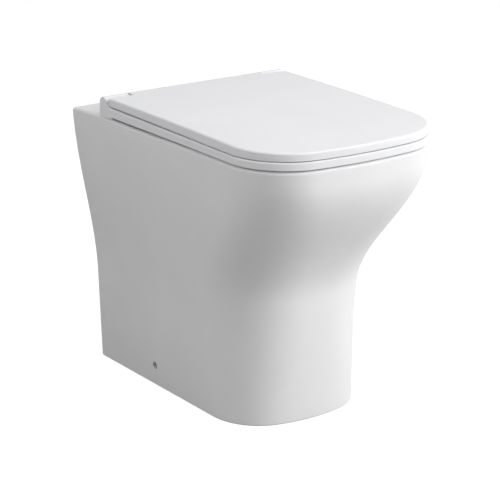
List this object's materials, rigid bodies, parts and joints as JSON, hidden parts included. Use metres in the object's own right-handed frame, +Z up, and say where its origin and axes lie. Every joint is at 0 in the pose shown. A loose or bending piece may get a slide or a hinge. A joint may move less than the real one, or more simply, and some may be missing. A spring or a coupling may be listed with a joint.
{
  "type": "back to wall toilet",
  "caption": "Skirted back to wall toilet pan with a slim D-shaped seat and lid that lift on soft-close hinges.",
  "frame": {"origin": "on the floor, under the middle of the pan's back, where its skirt meets the wall", "axes": "+Z up, the front faces -Y, the wall is the plane Y = 0, X runs across"},
  "size_m": [0.328, 0.52, 0.4495],
  "materials": {
    "ceramic": "clear gloss glaze",
    "seat_plastic": "polished white duroplast",
    "hinge_plastic": "white moulded",
    "chrome": "polished",
    "steel": "zinc plated",
    "rubber": "matt grey",
    "buffer_rubber": "soft, off-white",
    "nylon": "moulded natural nylon",
    "damper_plastic": "moulded"
  },
  "bodies": {
    "pan": {"pan": "ceramic", "hinge_post_left": "hinge_plastic", "hinge_post_right": "hinge_plastic", "hinge_plate_left": "chrome", "hinge_plate_right": "chrome", "deck_gaskets": "rubber", "hinge_studs": "steel", "stud_sleeves": "rubber", "stud_washers": "nylon", "stud_nuts": "nylon", "seat_damper_shaft": "steel", "lid_damper_shaft": "steel", "seat_pivot_pin": "steel", "lid_pivot_pin": "steel"},
    "seat": {"seat_ring": "seat_plastic", "seat_buffers": "buffer_rubber", "seat_bush": "nylon", "seat_damper_body": "damper_plastic"},
    "lid": {"lid": "seat_plastic", "lid_buffers": "buffer_rubber", "lid_bushes": "nylon", "lid_damper_body": "damper_plastic"}
  },
  "joints": [
    {"name": "seat_hinge", "type": "hinge", "parent": "pan", "child": "seat", "pos_m": [0, -0.092, 0.4385], "axis": [-1, 0, 0], "range_deg": [0, 94]},
    {"name": "lid_hinge", "type": "hinge", "parent": "seat", "child": "lid", "pos_m": [0, -0.092, 0.4385], "axis": [-1, 0, 0], "range_deg": [0, 94]}
  ]
}
